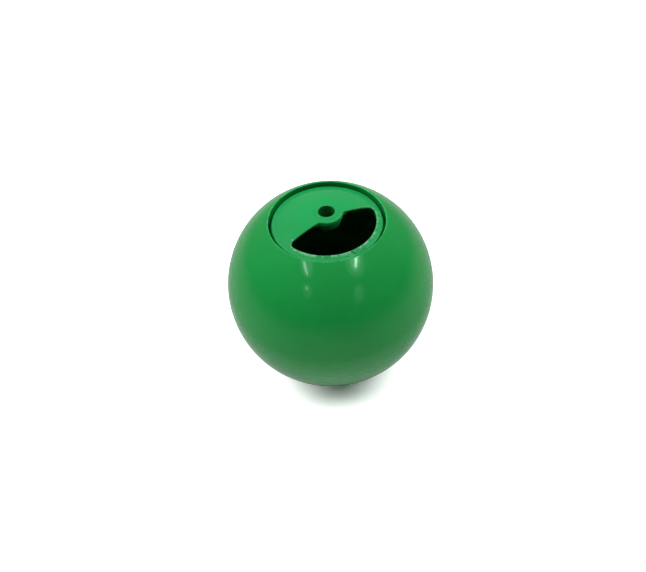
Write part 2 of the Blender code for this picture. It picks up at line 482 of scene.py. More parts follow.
def moulded_surface_group() -> bpy.types.NodeTree:
    """Build the effect of plastic from a polished mould: soft tone clouds and a faint orange peel.

    Returns:
        The group, which gives a colour, the clouds' mask and a height.
    """
    group = GroupBuilder("moulded surface")
    group.take("Tone", "NodeSocketColor", (0.5, 0.5, 0.5, 1.0))
    group.take("Deep tone", "NodeSocketColor", (0.3, 0.3, 0.3, 1.0))
    group.take("Cloud scale", "NodeSocketFloat", 22.0)
    group.take("Peel scale", "NodeSocketFloat", 600.0)
    place = group.node("TexCoord").outputs["Object"]
    clouds = group.node("TexNoise", in_Vector=place, in_Scale=group.value("Cloud scale"), in_Detail=3.0)
    spread = group.node("MapRange", in_Value=clouds.outputs["Fac"], in_1=0.35, in_2=0.65)
    tone = group.node("Mix", data_type="RGBA", in_0=spread.outputs["Result"], in_6=group.value("Deep tone"),
                      in_7=group.value("Tone"))
    peel = group.node("TexNoise", in_Vector=place, in_Scale=group.value("Peel scale"), in_Detail=1.0)
    swell = group.node("TexNoise", in_Vector=place, in_Scale=group.value("Cloud scale"), in_Detail=0.0)
    rise = group.node("Math", operation="MULTIPLY_ADD", in_0=swell.outputs["Fac"], in_1=6.0,
                      in_2=peel.outputs["Fac"])
    group.give("Colour", "NodeSocketColor", tone.outputs[2])
    group.give("Cloud", "NodeSocketFloat", spread.outputs["Result"])
    group.give("Height", "NodeSocketFloat", rise.outputs[0])
    return group.tree


def handling_marks_group() -> bpy.types.NodeTree:
    """Build the effect of handling: sparse hair scratches and dull patches.

    Returns:
        The group, which gives a mask for each of the two.
    """
    group = GroupBuilder("handling marks")
    group.take("Scratch scale", "NodeSocketFloat", 26.0)
    group.take("Patch scale", "NodeSocketFloat", 14.0)
    place = group.node("TexCoord").outputs["Object"]
    bent = group.node("TexNoise", in_Vector=place, in_Scale=9.0, in_Detail=2.0)
    drift = group.node("VectorMath", operation="MULTIPLY_ADD", in_0=bent.outputs["Color"],
                       in_1=(0.03, 0.03, 0.01), in_2=place)
    stretched = group.node("Mapping", in_Vector=drift.outputs[0], in_Rotation=(0.5, 0.3, 0.9),
                           in_Scale=(1.0, 7.0, 2.0))
    hairs = group.node("TexVoronoi", feature="DISTANCE_TO_EDGE", in_Vector=stretched.outputs[0],
                       in_Scale=group.value("Scratch scale"))
    line = group.node("MapRange", in_Value=hairs.outputs["Distance"], in_1=0.0, in_2=0.012, in_3=1.0,
                      in_4=0.0)
    patches = group.node("TexNoise", in_Vector=place, in_Scale=group.value("Patch scale"), in_Detail=4.0)
    sparse = group.node("MapRange", in_Value=patches.outputs["Fac"], in_1=0.52, in_2=0.66)
    mask = group.node("Math", operation="MULTIPLY", in_0=line.outputs["Result"],
                      in_1=sparse.outputs["Result"])
    group.give("Scratches", "NodeSocketFloat", mask.outputs[0])
    group.give("Dull patches", "NodeSocketFloat", sparse.outputs["Result"])
    return group.tree


def edge_wear_group() -> bpy.types.NodeTree:
    """Build the mask of rubbed edges, and of the painted highlight on the turning plate's port lip: the
    rounds' wear values, broken up by noise.

    Returns:
        The group, which gives one mask.
    """
    group = GroupBuilder("edge wear")
    group.take("Amount", "NodeSocketFloat", 0.5)
    group.take("Break scale", "NodeSocketFloat", 300.0)
    place = group.node("TexCoord").outputs["Object"]
    edges = group.node("Attribute", attribute_name=WEAR_AND_HIGHLIGHT)
    noise = group.node("TexNoise", in_Vector=place, in_Scale=group.value("Break scale"), in_Detail=3.0)
    broken = group.node("MapRange", in_Value=noise.outputs["Fac"], in_1=0.32, in_2=0.60)
    worn = group.node("Math", operation="MULTIPLY", in_0=edges.outputs["Fac"], in_1=broken.outputs["Result"])
    scaled = group.node("Math", operation="MULTIPLY", in_0=worn.outputs[0], in_1=group.value("Amount"))
    group.give("Mask", "NodeSocketFloat", scaled.outputs[0])
    return group.tree


@dataclass
class EffectLibrary:
    """The shared effects, each built once."""

    surface: bpy.types.NodeTree = field(default_factory=moulded_surface_group)
    marks: bpy.types.NodeTree = field(default_factory=handling_marks_group)
    wear: bpy.types.NodeTree = field(default_factory=edge_wear_group)


@dataclass(frozen=True)
class Plastic:
    """A moulded plastic: its colours, how glossy it is and how it has worn. Its worn tone also paints a
    highlight where the wear mask holds one.
    """

    name: str
    tone: Colour
    deep_tone: Colour
    worn_and_highlight_tone: Colour
    gloss: float
    dull: float
    peel: float
    wear: float
    specular: float = 0.5
    cloud_scale: float = 22.0
    peel_scale: float = 600.0
    peel_depth: float = 0.02 * MM
    scratch_dull: float = 0.12
    wear_dull: float = 0.15
    scratch_depth: float = 0.6

    def material(self, effects: EffectLibrary) -> bpy.types.Material:
        """Build the material.

        Args:
            effects: The shared effects.

        Returns:
            The material, ready for a piece's slot.
        """
        made = bpy.data.materials.new(self.name)
        made.use_nodes = True
        tree = made.node_tree
        shader = tree.nodes["Principled BSDF"]
        shader.inputs["Specular IOR Level"].default_value = self.specular
        surface = place_node(tree, "Group", node_tree=effects.surface, in_Tone=(*self.tone, 1.0),
                             in_Deep_tone=(*self.deep_tone, 1.0), in_Cloud_scale=self.cloud_scale,
                             in_Peel_scale=self.peel_scale)
        marks = place_node(tree, "Group", node_tree=effects.marks)
        wear = place_node(tree, "Group", node_tree=effects.wear, in_Amount=self.wear)
        # The worn tone goes where the wear mask is; on the plates this pale tone is also a painted highlight
        # along the port lip and edge rounds.
        colour = place_node(tree, "Mix", data_type="RGBA", in_0=wear.outputs["Mask"],
                            in_6=surface.outputs["Colour"], in_7=(*self.worn_and_highlight_tone, 1.0))
        tree.links.new(colour.outputs[2], shader.inputs["Base Color"])
        rough = place_node(tree, "MapRange", in_Value=marks.outputs["Dull patches"], in_3=self.gloss,
                           in_4=self.dull)
        scratched = place_node(tree, "Math", operation="MULTIPLY_ADD", in_0=marks.outputs["Scratches"],
                               in_1=self.scratch_dull, in_2=rough.outputs["Result"])
        rubbed = place_node(tree, "Math", operation="MULTIPLY_ADD", in_0=wear.outputs["Mask"],
                            in_1=self.wear_dull, in_2=scratched.outputs[0])
        tree.links.new(rubbed.outputs[0], shader.inputs["Roughness"])
        dent = place_node(tree, "Math", operation="MULTIPLY_ADD", in_0=marks.outputs["Scratches"],
                          in_1=-self.scratch_depth, in_2=surface.outputs["Height"])
        bump = place_node(tree, "Bump", in_Strength=self.peel, in_Distance=self.peel_depth,
                          in_Height=dent.outputs[0])
        tree.links.new(bump.outputs["Normal"], shader.inputs["Normal"])
        return made


# --------------------------------------------------------------------------- the ball


@dataclass(frozen=True)
class BallSizes:
    """The sizes that the sub-assemblies share."""

    radius: float
    foot: float = 15.0 * MM
    wall: float = 4.0 * MM
    mouth: float = 54.2 * MM
    recess: float = 5.5 * MM
    plate: float = 4.0 * MM
    plate_gap: float = 2.3 * MM
    seat_clearance: float = 0.6 * MM
    seat: float = 3.0 * MM
    bore: float = 7.8 * MM
    bush_wall: float = 2.2 * MM
    flange_overhang: float = 1.4 * MM
    flange: float = 1.6 * MM
    boss_wall: float = 2.9 * MM
    boss_height: float = 5.0 * MM
    washer: float = 1.2 * MM
    clip: float = 1.6 * MM
    fit: float = 0.3 * MM

    @property
    def lift(self) -> float:
        """Height of the ball's centre above its foot."""
        return on_sphere(self.radius, self.foot)

    @property
    def plate_dome(self) -> float:
        """Radius of the turning plate's top."""
        return self.radius - self.recess

    @property
    def plate_under(self) -> float:
        """Radius of the turning plate's underside."""
        return self.plate_dome - self.plate

    @property
    def seat_dome(self) -> float:
        """Radius of the fixed plate's top."""
        return self.plate_under - self.seat_clearance

    @property
    def seat_under(self) -> float:
        """Radius of the fixed plate's underside."""
        return self.seat_dome - self.seat

    @property
    def plate_radius(self) -> float:
        """How far out the turning plate reaches."""
        return self.mouth - self.plate_gap

    @property
    def seat_radius(self) -> float:
        """How far out the fixed plate reaches."""
        return self.mouth - self.fit

    @property
    def bush(self) -> float:
        """Outer radius of the bush's stem."""
        return self.bore + self.bush_wall

    @property
    def socket(self) -> float:
        """Radius of the holes that the bush goes through."""
        return self.bush + self.fit

    @property
    def flange_radius(self) -> float:
        """Outer radius of the bush's flange."""
        return self.bush + self.flange_overhang

    @property
    def flange_base(self) -> float:
        """Height of the flange's underside."""
        return on_sphere(self.plate_dome, self.flange_radius) - self.flange

    @property
    def ledge_top(self) -> float:
        """Height of the ledge that the fixed plate sits on."""
        return on_sphere(self.seat_under, self.seat_radius) - self.fit

    @property
    def boss_base(self) -> float:
        """Height of the boss's underside."""
        return self.seat_dome - self.boss_height

    @property
    def washer_top(self) -> float:
        """Height of the washer's top."""
        return self.boss_base - self.fit

    @property
    def clip_top(self) -> float:
        """Height of the clip's top."""
        return self.washer_top - self.washer - self.fit


def dress(piece: bpy.types.Object, finish: bpy.types.Material, body: Body, slot: Slot, *nodes: str) -> None:
    """Give a piece its finish and its place in the frame.

    Args:
        piece: The finished piece.
        finish: Its material.
        body: The body that it rides on.
        slot: The record's slot for its finish; not used.
        *nodes: The frame's nodes that it stands for.
    """
    piece.data.materials.append(finish)
    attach(piece, body.value)
    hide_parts(*nodes)
    log.info("%s: %d faces, rides on %s", piece.name, len(piece.data.polygons), body.value)


@dataclass
class BallShells:
    """The two shells: a mouth with a collar, a flat foot, and a hairline lap joint between them."""

    sizes: BallSizes
    sides: int = 192
    step: float = math.radians(1.5)
    rim_round: float = 0.9 * MM
    collar_wall: float = 3.4 * MM
    ledge_width: float = 4.6 * MM
    ledge: float = 3.0 * MM
    lap: float = 6.0 * MM
    seam: float = 0.06 * MM
    seam_round: float = 0.12 * MM
    foot_round: float = 8.0 * MM
    gate_radius: float = 3.0 * MM
    gate_depth: float = 0.5 * MM
    edge_round: float = 0.4 * MM

    def upper(self) -> bpy.types.Object:
        """Build the upper shell.

        Returns:
            The shell, as one closed mesh.
        """
        sizes = self.sizes
        inner = sizes.radius - sizes.wall
        half_lap = (sizes.wall - sizes.fit) / 2
        top = dome(sizes.radius, on_sphere(sizes.radius, self.seam / 2), sizes.mouth, self.step)
        top[0] = Corner(top[0].reach, top[0].height, self.seam_round)
        top[-1] = Corner(top[-1].reach, top[-1].height, self.rim_round)
        ledge_reach = sizes.mouth - self.ledge_width
        ledge_base = sizes.ledge_top - self.ledge
        collar = [
            Corner(sizes.mouth, sizes.ledge_top, self.edge_round),
            Corner(ledge_reach, sizes.ledge_top, self.edge_round),
            Corner(ledge_reach, ledge_base, self.edge_round),
            Corner(sizes.mouth + self.collar_wall, ledge_base, self.edge_round),
        ]
        lap_top = self.lap + sizes.fit / 2
        under = dome(inner, sizes.mouth + self.collar_wall, on_sphere(inner, lap_top), 2 * self.step)
        lap_wall = inner + half_lap + sizes.fit
        lap = [Corner(lap_wall, lap_top), Corner(lap_wall, self.seam / 2)]
        maker = MeshMaker()
        maker.turn(round_off(top + collar + under + lap, closed=True), self.sides, closed=True)
        return maker.finished("upper_shell_skin", sizes.lift)

    def lower(self) -> bpy.types.Object:
        """Build the lower shell.

        Returns:
            The shell, as one closed mesh.
        """
        sizes = self.sizes
        inner = sizes.radius - sizes.wall
        half_lap = (sizes.wall - sizes.fit) / 2
        floor = sizes.lift - sizes.wall
        lap_top = self.lap - sizes.fit / 2
        inside_arc = arc(inner, -math.asin(floor / inner), math.asin(lap_top / inner), 2 * self.step)
        tongue = [Corner(inner + half_lap, lap_top), Corner(inner + half_lap, -self.seam / 2)]
        seam_turn = math.asin(self.seam / 2 / sizes.radius)
        foot_turn = math.asin(sizes.lift / sizes.radius)
        outside = [Corner(*point) for point in arc(sizes.radius, -seam_turn, -foot_turn, self.step)]
        outside[0] = Corner(outside[0].reach, outside[0].height, self.seam_round)
        outside[-1] = Corner(outside[-1].reach, outside[-1].height, self.foot_round)
        gate_roof = self.gate_depth - sizes.lift
        gate = [
            Corner(self.gate_radius, -sizes.lift, self.gate_depth / 3),
            Corner(self.gate_radius - self.gate_depth, gate_roof, self.gate_depth / 3),
            Corner(0.0, gate_roof),
        ]
        section = [Corner(0.0, -floor)] + [Corner(*point) for point in inside_arc] + tongue + outside + gate
        maker = MeshMaker()
        maker.turn(round_off(section, closed=False), self.sides, closed=False)
        return maker.finished("lower_shell_skin", sizes.lift)

    def build(self, finish: bpy.types.Material) -> None:
        """Build both shells and dress them."""
        dress(self.upper(), finish, Body.BALL, Slot.BALL, "upper_shell")
        dress(self.lower(), finish, Body.BALL, Slot.BALL, "lower_shell")


@dataclass(frozen=True)
class Pointer:
    """The small raised pointer on the turning plate's rim. Its tip points outwards."""

    middle: float
    length: float = 4.2 * MM
    width: float = 6.4 * MM
    height: float = 1.1 * MM
    slope: float = 0.2 * MM
    splits: int = 8

    def outline(self, shrink: float) -> list[Point2]:
        """Give the pointer's outline.

        Args:
            shrink: How far to draw it in.

        Returns:
            Plan points, with a few along each edge.
        """
        tip = self.middle + self.length / 2
        back = self.middle - self.length / 2
        half = self.width / 2
        flank = math.hypot(half, self.length)
        tip_in = shrink * flank / half
        back_in = shrink * (flank + half) / self.length
        heel = -(back + shrink)
        corners = [(0.0, -(tip - tip_in)), (half - back_in, heel), (back_in - half, heel)]
        points: list[Point2] = []
        for (x0, y0), (x1, y1) in zip(corners, corners[1:] + corners[:1]):
            shares = [index / self.splits for index in range(self.splits)]
            points += [(x0 + (x1 - x0) * at, y0 + (y1 - y0) * at) for at in shares]
        return points

    def rise(self, across: float, out: float) -> float:
        """Give how far the pointer stands above the plate over a plan point."""
        return self.height if inside(self.outline(self.slope * 0.98), (across, out)) else 0.0


@dataclass
class DomedPlate:
    """A domed plate with a half-moon port and a stepped or plain hole for the bush."""

    name: str
    top: float
    under: float
    reach: float
    port: HalfMoon
    bore: float
    sink: float
    sink_floor: float
    boss: float = 0.0
    boss_base: float = 0.0
    rim_base: float = 0.0
    rim_inside: float = 0.0
    pointer: Pointer | None = None
    edge: float = 1.0 * MM
    port_round: float = 0.7 * MM
    undercut: float = 0.0
    small: float = 0.3 * MM
    # The pale worn tone on the wall rounds is edge wear and, on the port lip, a painted highlight strongest
    # near the rim.
    edge_wear: float = 0.3
    lip_highlight: float = 0.0
    highlight_from: float = 0.8
    lean_from: float = 1.1
    lean_over: float = 0.2
    sides: int = 180
    hole_sides: int = 96
    pitch: float = 1.7 * MM
    steps: int = 5
    foot_steps: int = 3

    def upper_height(self, across: float, out: float) -> float:
        """Give the height of the plate's top over a plan point."""
        rise = self.pointer.rise(across, out) if self.pointer else 0.0
        return on_sphere(self.top, math.hypot(across, out)) + rise

    def lower_height(self, across: float, out: float) -> float:
        """Give the height of the plate's underside, boss and rim included.

        Args:
            across: The plan point's X.
            out: Its Y.

        Returns:
            The height above the ball's centre.
        """
        away = math.hypot(across, out)
        if self.boss and away < self.boss + self.small:
            return self.boss_base
        if self.rim_base and away > self.rim_inside - self.small:
            return self.rim_base
        return on_sphere(self.under, away)

    def wall(self, maker: MeshMaker, outline: Callable[[float], list[Point2]], top_round: float,
             rubbed: Callable[[Point2], float] | None = None,
             foot: Callable[[float], list[Point2]] | None = None) -> None:
        """Build one upright wall with a round at its top and a smaller one at its foot.

        Args:
            maker: Collects the faces.
            outline: Gives the wall's outline, pushed into the plate by some distance.
            top_round: Radius of the round at the top.
            rubbed: Gives how strongly the lip takes the painted highlight at a plan point, beyond the other
                edges' wear.
            foot: Gives the outline of the wall's foot, where the wall leans back under the plate.
        """
        rings = []
        for step in range(self.steps + 1):
            turn = math.pi / 2 * step / self.steps
            push = top_round * (1 - math.sin(turn))
            drop = top_round * (1 - math.cos(turn))
            level = outline(top_round)
            ring = [
                (x, y, on_sphere(self.top, math.hypot(*edge)) - drop)
                for (x, y), edge in zip(outline(push), level)
            ]
            made = maker.loop(ring, self.edge_wear * math.sin(2 * turn))
            # Raise the lip's wear value to paint a highlight along the top of the port lip.
            if rubbed:
                for vertex, spot in zip(made, level):
                    vertex[maker.wear] = max(vertex[maker.wear], rubbed(spot) * math.cos(turn) ** 4)
            rings.append(made)
        base = foot or outline
        for step in range(self.foot_steps, -1, -1):
            turn = math.pi / 2 * step / self.foot_steps
            push = self.small * (1 - math.sin(turn))
            rise = self.small * (1 - math.cos(turn))
            ring = [
                (x, y, self.lower_height(*edge) + rise)
                for (x, y), edge in zip(base(push), base(self.small))
            ]
            rings.append(maker.loop(ring))
        for first, second in zip(rings, rings[1:]):
            maker.bridge(first, second)

    def hole(self, maker: MeshMaker) -> None:
        """Build the hole for the bush, with the sink for its flange where there is one.

        Args:
            maker: Collects the faces.
        """
        if self.sink <= self.bore:
            self.wall(maker, lambda push: circle(self.bore + push, self.hole_sides), self.small)
            return
        top_edge = on_sphere(self.top, self.sink + self.small)
        base = self.lower_height(self.bore, 0.0)
        section = round_off(
            [
                Corner(self.sink + self.small, top_edge),
                Corner(self.sink, top_edge - self.small / 3, self.small / 4),
                Corner(self.sink, self.sink_floor, self.small / 2),
                Corner(self.bore, self.sink_floor, self.small / 2),
                Corner(self.bore, base + self.small),
                Corner(self.bore + self.small, base),
            ],
            closed=False,
        )
        rings = [
            maker.loop([(x, y, spot.height) for x, y in circle(spot.reach, self.hole_sides)], spot.wear)
            for spot in section
        ]
        for first, second in zip(rings, rings[1:]):
            maker.bridge(first, second)

    def rim(self, push: float) -> list[Point2]:
        """Give the plate's outer edge, drawn in by some distance."""
        return circle(self.reach - push, self.sides)

    def build(self, lift: float) -> bpy.types.Object:
        """Build the plate.

        Args:
            lift: Height of the ball's centre above its foot.

        Returns:
            The plate as one closed mesh.
        """
        maker = MeshMaker()
        self.wall(maker, self.rim, self.edge)
        self.wall(maker, self.port.grown, self.port_round, self.lip, self.port_foot)
        self.hole(maker)
        hole_top = max(self.sink, self.bore) + self.small
        port_top = self.port.grown(self.port_round)
        port_base = self.port_foot(self.small)
        grid = polar_grid(hole_top + self.pitch, self.reach - self.edge - self.pitch / 2, self.pitch)
        top_loops = [self.rim(self.edge), circle(hole_top, self.hole_sides), port_top]
        base_loops = [self.rim(self.small), circle(self.bore + self.small, self.hole_sides), port_base]
        keep_clear = self.port.grown(self.port_round + self.pitch / 2)
        top_grid = [point for point in grid if not inside(keep_clear, point)]
        if self.pointer:
            around = self.pointer.outline(-self.pitch / 3)
            top_grid = [point for point in top_grid if not inside(around, point)]
            top_loops += [self.pointer.outline(0.0), self.pointer.outline(self.pointer.slope)]
        keep_clear = self.port.grown(max(self.port_round, self.small + self.undercut) + self.pitch / 2)
        base_grid = [point for point in grid if not inside(keep_clear, point)]
        for step in filter(None, (self.boss, self.rim_inside)):
            nudge = self.small if step == self.boss else -self.small
            for edge in (step, step + nudge):
                base_grid += [point for point in circle(edge, self.sides) if not inside(keep_clear, point)]
        maker.skin(top_loops, top_grid, lambda point: self.covers(point, hole_top, port_top),
                   self.upper_height)
        maker.skin(base_loops, base_grid, lambda point: self.covers(point, self.bore + self.small, port_base),
                   self.lower_height)
        return maker.finished(self.name, lift)

    def port_foot(self, push: float) -> list[Point2]:
        """Give the outline of the port wall's foot, which leans back under the plate except round the hub.

        Args:
            push: How far to push the outline into the plate.

        Returns:
            Plan points, in the order of the port's own outline.
        """
        near, far = self.port.grown(push), self.port.grown(push + self.undercut)
        points: list[Point2] = []
        for (x0, y0), (x1, y1) in zip(near, far):
            from_hub = math.hypot(x0, y0) / self.port.hub
            share = min(1.0, max(0.0, (from_hub - self.lean_from) / self.lean_over))
            points.append((x0 + (x1 - x0) * share, y0 + (y1 - y0) * share))
        return points

    def lip(self, point: Point2) -> float:
        """Give how strong the port lip's painted highlight is at a plan point: strongest near the rim."""
        share = (math.hypot(*point) / self.port.rim - self.highlight_from) / (1.0 - self.highlight_from)
        return self.lip_highlight * min(1.0, max(0.0, share))

    def covers(self, point: Point2, hole: float, port: list[Point2]) -> bool:
        """Say whether a plan point lies on the plate, outside its hole and its port."""
        return math.hypot(*point) > hole * 0.999 and not inside(port, point)


@dataclass
class PlateAssembly:
    """The turning plate, the fixed plate under it, and the bush, washer and clip that hold them together."""

    sizes: BallSizes
    port_rim: float = 6.5 * MM
    chord: float = 8.4 * MM
    hub_wall: float = 3.5 * MM
    seat_port_margin: float = 1.0 * MM
    seat_chord: float = 1.0 * MM
    seat_rim: float = 5.5 * MM
    washer_width: float = 2.7 * MM
    clip_width: float = 3.0 * MM
    clip_opening: float = 9.0 * MM
    groove: float = 0.8 * MM
    tail: float = 2.2 * MM
    lip: float = 1.2 * MM
    # The dark sleeve in the bush's bore is painted shade: a dark part put where the bore is only in shadow.
    shade_sleeve_wall: float = 0.45 * MM
    shade_sleeve_fit: float = 0.05 * MM
    hairline: float = 0.06 * MM
    bore_round: float = 0.5 * MM
    flange_round: float = 0.12 * MM
    tail_round: float = 0.6 * MM
    washer_round: float = 0.15 * MM
    fine_round: float = 0.2 * MM
    crisp_round: float = 0.1 * MM
    flange_step: float = math.radians(0.5)
    sides: int = 96

    def turning_plate(self) -> bpy.types.Object:
        """Build the plate that turns.

        Returns:
            The plate, as one closed mesh.
        """
        sizes = self.sizes
        hub = sizes.flange_radius + sizes.fit + self.hub_wall
        rim = sizes.plate_radius - self.port_rim
        plate = DomedPlate(
            name="dispensing_plate_skin",
            top=sizes.plate_dome,
            under=sizes.plate_under,
            reach=sizes.plate_radius,
            port=HalfMoon(rim, self.chord, hub),
            bore=sizes.socket,
            sink=sizes.flange_radius + self.hairline,
            sink_floor=sizes.flange_base - sizes.fit,
            pointer=Pointer((rim + sizes.plate_radius) / 2),
            edge=2.4 * MM,
            port_round=1.0 * MM,
            undercut=1.6 * MM,
            # A painted highlight along the port's lip, carried as extra wear.
            lip_highlight=2.4,
        )
        return plate.build(sizes.lift)

    def fixed_plate(self) -> bpy.types.Object:
        """Build the plate that sits on the ledge.

        Returns:
            The plate, as one closed mesh.
        """
        sizes = self.sizes
        boss = sizes.socket + sizes.boss_wall
        rim = sizes.plate_radius - self.port_rim + self.seat_port_margin
        plate = DomedPlate(
            name="seat_plate_skin",
            top=sizes.seat_dome,
            under=sizes.seat_under,
            reach=sizes.seat_radius,
            port=HalfMoon(rim, self.seat_chord, boss),
            bore=sizes.socket,
            sink=0.0,
            sink_floor=0.0,
            boss=boss,
            boss_base=sizes.boss_base,
            rim_base=sizes.ledge_top + sizes.fit,
            rim_inside=sizes.seat_radius - self.seat_rim,
            edge=0.4 * MM,
            port_round=0.4 * MM,
        )
        return plate.build(sizes.lift)

    def bush(self) -> bpy.types.Object:
        """Build the hollow bush: a flange flush with the plate, a stem, a groove and a tail.

        Returns:
            The bush, as one closed mesh.
        """
        sizes = self.sizes
        radius, bore = sizes.bush, sizes.bore
        groove = radius - self.groove
        groove_top = sizes.clip_top + sizes.fit
        groove_base = sizes.clip_top - sizes.clip - sizes.fit
        base = groove_base - self.tail
        # The bore steps wider below the lip to hold the painted shade sleeve.
        shade_sleeve = bore + self.shade_sleeve_wall + self.shade_sleeve_fit
        flange = dome(sizes.plate_dome, bore, sizes.flange_radius, self.flange_step)
        flange[0] = Corner(flange[0].reach, flange[0].height, self.bore_round)
        flange[-1] = Corner(flange[-1].reach, flange[-1].height, self.flange_round)
        stem = [
            Corner(sizes.flange_radius, sizes.flange_base, self.fine_round),
            Corner(radius, sizes.flange_base, self.crisp_round),
            Corner(radius, groove_top, self.fine_round),
            Corner(groove, groove_top),
            Corner(groove, groove_base),
            Corner(radius, groove_base, self.fine_round),
            Corner(radius, base, self.tail_round),
            Corner(shade_sleeve, base, self.fine_round),
            Corner(shade_sleeve, self.shade_sleeve_top + self.shade_sleeve_fit),
            Corner(bore, self.shade_sleeve_top + self.shade_sleeve_fit, self.crisp_round),
        ]
        maker = MeshMaker()
        maker.turn(round_off(flange + stem, closed=True), self.sides, closed=True)
        return maker.finished("pivot_bush_skin", sizes.lift)

    @property
    def shade_sleeve_top(self) -> float:
        """Height of the painted shade sleeve's top, under the bush's lip."""
        return on_sphere(self.sizes.plate_dome, self.sizes.bore) - self.lip

    def shade_sleeve(self) -> bpy.types.Object:
        """Build the dark sleeve that lines the bush's bore below its lip: painted shade for the shadowed
        bore.

        Returns:
            The sleeve, as one closed mesh.
        """
        sizes = self.sizes
        inner, outer = sizes.bore, sizes.bore + self.shade_sleeve_wall
        base = sizes.clip_top - sizes.clip - sizes.fit - self.tail
        section = [
            Corner(inner, self.shade_sleeve_top, self.crisp_round),
            Corner(outer, self.shade_sleeve_top, self.crisp_round),
            Corner(outer, base, self.crisp_round),
            Corner(inner, base, self.fine_round),
        ]
        maker = MeshMaker()
        maker.turn(round_off(section, closed=True), self.sides, closed=True)
        return maker.finished("bore_shade_sleeve_skin", sizes.lift)

    def washer(self) -> bpy.types.Object:
        """Build the washer under the boss.

        Returns:
            The washer, as one closed mesh.
        """
        sizes = self.sizes
        reach = sizes.socket + self.washer_width
        base = sizes.washer_top - sizes.washer
        section = tube(sizes.socket, reach, base, sizes.washer_top, self.washer_round)
        maker = MeshMaker()
        maker.turn(round_off(section, closed=True), self.sides, closed=True)
        return maker.finished("thrust_washer_skin", sizes.lift)

    def clip(self) -> bpy.types.Object:
        """Build the open ring in the bush's groove, its ends closed with flat caps.

        Returns:
            The clip, open towards +Y.
        """
        sizes = self.sizes
        inner = sizes.bush - self.groove + sizes.fit
        reach = inner + self.clip_width
        base = sizes.clip_top - sizes.clip
        section = round_off(tube(inner, reach, base, sizes.clip_top, self.fine_round), closed=True)
        half_gap = math.asin(self.clip_opening / 2 / reach)
        sweep = 2 * (math.pi - half_gap)
        maker = MeshMaker()
        rings = []
        for index in range(self.sides + 1):
            turn = math.pi / 2 + half_gap + sweep * index / self.sides
            rings.append(maker.loop([(spot.reach * math.cos(turn), spot.reach * math.sin(turn), spot.height)
                                     for spot in section]))
        for first, second in zip(rings, rings[1:]):
            maker.bridge(first, second)
        maker.mesh.faces.new(rings[0])
        maker.mesh.faces.new(rings[-1])
        return maker.finished("retaining_clip_skin", sizes.lift)

    def build(self, plate: bpy.types.Material, fitting: bpy.types.Material) -> None:
        """Build every piece of the assembly and dress it.

        Args:
            plate: The plates' and the bush's finish.
            fitting: The painted shade sleeve's, the washer's and the clip's finish.
        """
        dress(self.turning_plate(), plate, Body.PLATE, Slot.PLATE, "dispensing_plate")
        dress(self.fixed_plate(), plate, Body.BALL, Slot.PLATE, "seat_plate")
        dress(self.bush(), plate, Body.BALL, Slot.PLATE, "pivot_bush")
        # A dark sleeve inside the bore, painted as shade.
        dress(self.shade_sleeve(), fitting, Body.BALL, Slot.FITTING, "pivot_bush")
        dress(self.washer(), fitting, Body.BALL, Slot.FITTING, "thrust_washer")
        dress(self.clip(), fitting, Body.BALL, Slot.FITTING, "retaining_clip")


# --------------------------------------------------------------------------- the studio


@dataclass(frozen=True)
class Heading:
    """A direction away from the ball, in degrees: how far round from +Y towards +X, and how far up."""

    around: float
    above: float

    def vector(self) -> Vector:
        """Give the direction.

        Returns:
            A unit vector.
        """
        around, above = math.radians(self.around), math.radians(self.above)
        flat = math.cos(above)
        return Vector((math.sin(around) * flat, math.cos(around) * flat, math.sin(above)))


@dataclass(frozen=True)
class SoftSky:
    """A wide, even part of the studio's ceiling or walls, which lights softly and shows in no reflection."""

    name: str
    middle: Heading
    spread: float
    strength: float

    def build(self, target: Vector) -> bpy.types.Object:
        """Set up the light.

        Args:
            target: The point that the light faces.

        Returns:
            The light.
        """
        data = bpy.data.lights.new(self.name, "SUN")
        data.angle = math.radians(self.spread)
        data.energy = math.pi * self.strength
        light = bpy.data.objects.new(self.name, data)
        light.location = target + self.middle.vector()
        light.rotation_euler = self.middle.vector().to_track_quat("Z", "Y").to_euler()
        light.visible_glossy = False
        bpy.context.scene.collection.objects.link(light)
        return light


@dataclass(frozen=True)
class Strip:
    """A strip lamp that shows in the gloss. Seen from the ball, it runs from one heading to another."""

    name: str
    first: Heading
    last: Heading
    width: float
    glow: float
    tint: Colour = (0.65, 1.0, 0.82)
    distance: float = 1.5

    def build(self, target: Vector) -> bpy.types.Object:
        """Hang the lamp.

        Args:
            target: The point that the lamp faces.

        Returns:
            The lamp.
        """
        start = self.first.vector() * self.distance
        end = self.last.vector() * self.distance
        away = ((start + end) / 2).normalized()
        along = (end - start).normalized()
        across = along.cross(away).normalized()
        along = away.cross(across)
        data = bpy.data.lights.new(self.name, "AREA")
        data.shape = "ELLIPSE"
        data.size = self.width
        data.size_y = (end - start).length
        data.energy = self.glow * math.pi**2 * data.size * data.size_y / 4
        data.color = self.tint
        lamp = bpy.data.objects.new(self.name, data)
        lamp.location = target + (start + end) / 2
        lamp.rotation_euler = Matrix((across, along, away)).transposed().to_euler()
        bpy.context.scene.collection.objects.link(lamp)
        return lamp


